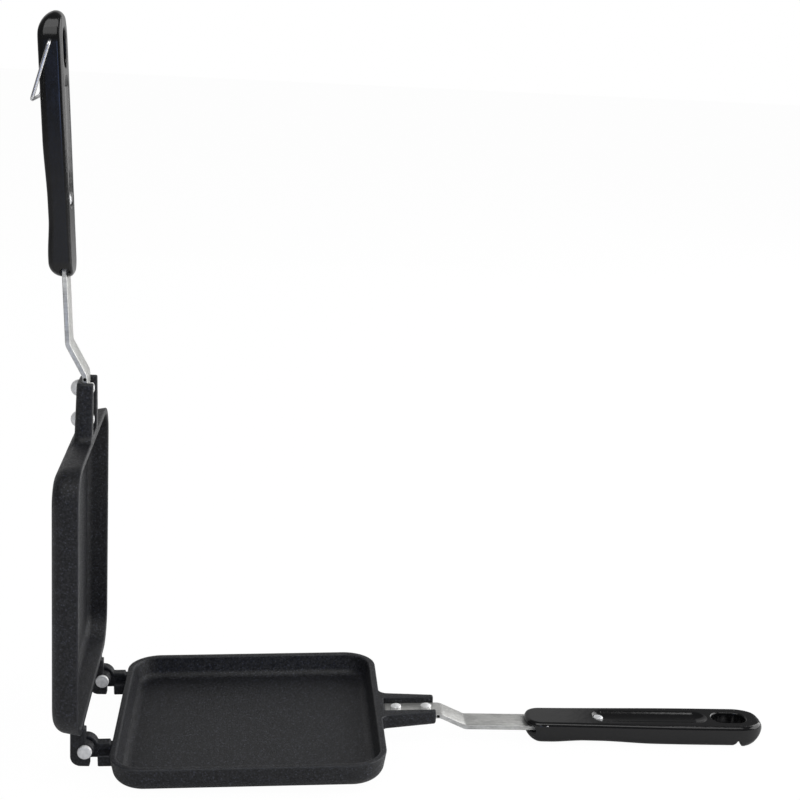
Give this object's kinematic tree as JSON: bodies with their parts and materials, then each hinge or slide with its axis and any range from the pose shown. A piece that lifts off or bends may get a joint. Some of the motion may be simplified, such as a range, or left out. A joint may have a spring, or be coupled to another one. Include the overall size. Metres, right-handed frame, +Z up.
{
  "type": "pie iron",
  "caption": "Hinged square sandwich iron standing open: black coated shallow pans on riveted steel straps, dished black handles with hang holes, and a wire locking bail.",
  "frame": {"origin": "centre of the lower pan's flat underside", "axes": "+Z up out of the lower pan, +X from the pan along the lower handle, Y along the hinge pins with the camera side at -Y"},
  "size_m": [0.3981, 0.146, 0.4036],
  "materials": {
    "pan": "black non-stick coating with a fine speckle",
    "strap": "satin",
    "rivet": "bright",
    "hinge_pin": "bright, peened",
    "handle": "moulded, polished",
    "screw": "zinc plated",
    "bail": "bright wire"
  },
  "bodies": {
    "lower_half": {"lower_pan": "pan", "front_hinge_pin": "hinge_pin", "rear_hinge_pin": "hinge_pin", "lower_strap": "strap", "lower_inner_rivet": "rivet", "lower_outer_rivet": "rivet", "lower_handle": "handle", "lower_handle_screw": "screw", "lower_handle_nut": "screw", "lower_set_pin": "screw"},
    "upper_half": {"upper_pan": "pan", "upper_strap": "strap", "upper_inner_rivet": "rivet", "upper_outer_rivet": "rivet", "upper_handle": "handle", "upper_handle_screw": "screw", "upper_handle_nut": "screw", "upper_set_pin": "screw"},
    "bail": {"latch_bail": "bail"}
  },
  "joints": [
    {"name": "pan_hinge", "type": "hinge", "parent": "lower_half", "child": "upper_half", "pos_m": [-0.0862, 0, 0.0137], "axis": [0, 1, 0], "range_deg": [-27, 87.8]},
    {"name": "bail_pivot", "type": "hinge", "parent": "upper_half", "child": "bail", "pos_m": [-0.09482, 0, 0.37742], "axis": [0, 1, 0], "range_deg": [-4.5, 252.9]}
  ]
}
